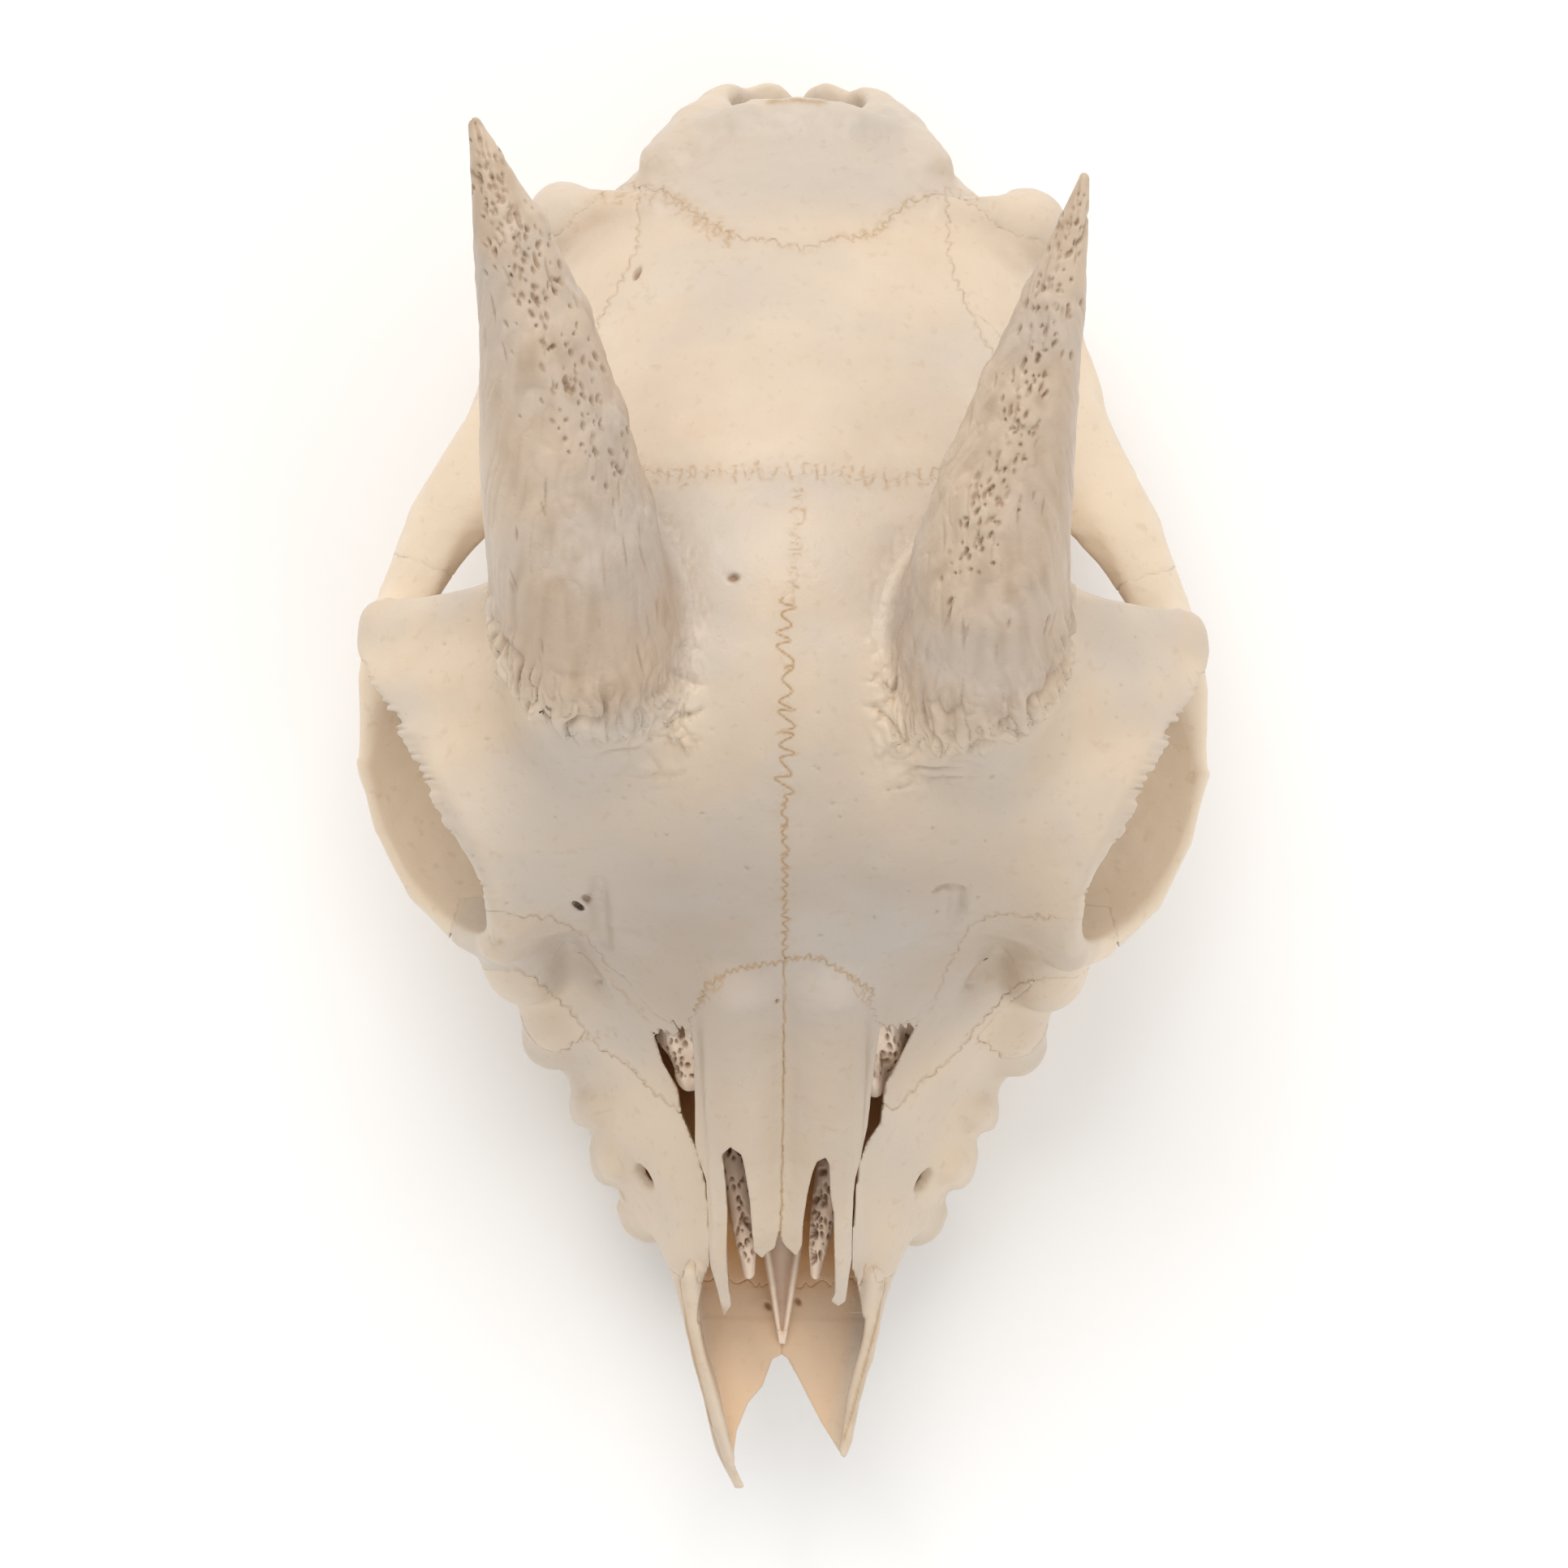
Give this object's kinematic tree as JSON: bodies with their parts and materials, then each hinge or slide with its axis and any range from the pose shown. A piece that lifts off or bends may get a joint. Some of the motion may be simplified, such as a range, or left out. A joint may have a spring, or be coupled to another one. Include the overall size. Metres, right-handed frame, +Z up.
{
  "type": "goat skull",
  "caption": "Cleaned goat skull without its lower jaw, with bare bony horn cores, open eye sockets and cheek teeth, lying on its teeth as on a shelf.",
  "frame": {"origin": "on the floor, under the centre of the skull's box", "axes": "+Z up, -Y towards the nose, +Y towards the nape, +X towards the animal's left side"},
  "size_m": [0.1132, 0.1888, 0.123],
  "materials": {
    "skull_bone": "matte, smooth cleaned bone, warm cream",
    "face_bone": "matte, smooth cleaned bone, greyer beige",
    "horn_core": "matte, porous and grooved bone, taupe",
    "arch_bone": "satin, smooth cleaned bone, orange cream",
    "inner_bone": "matte, thin perforated bone, brown",
    "base_bone": "matte, cleaned bone of the underside"
  },
  "bodies": {
    "root": {"horn_core_left": "horn_core", "horn_core_right": "horn_core", "nasal_left": "face_bone", "nasal_right": "face_bone", "frontal_left": "face_bone", "frontal_right": "face_bone", "lacrimal_left": "face_bone", "lacrimal_right": "face_bone", "parietal": "skull_bone", "occipital": "skull_bone", "premaxilla_left": "skull_bone", "premaxilla_right": "skull_bone", "maxilla_left": "skull_bone", "maxilla_right": "skull_bone", "zygomatic_left": "arch_bone", "zygomatic_right": "arch_bone", "temporal_left": "arch_bone", "temporal_right": "arch_bone", "concha_left": "inner_bone", "concha_right": "inner_bone", "vomer": "inner_bone", "palatine_left": "base_bone", "palatine_right": "base_bone", "sphenoid": "base_bone"}
  },
  "joints": []
}
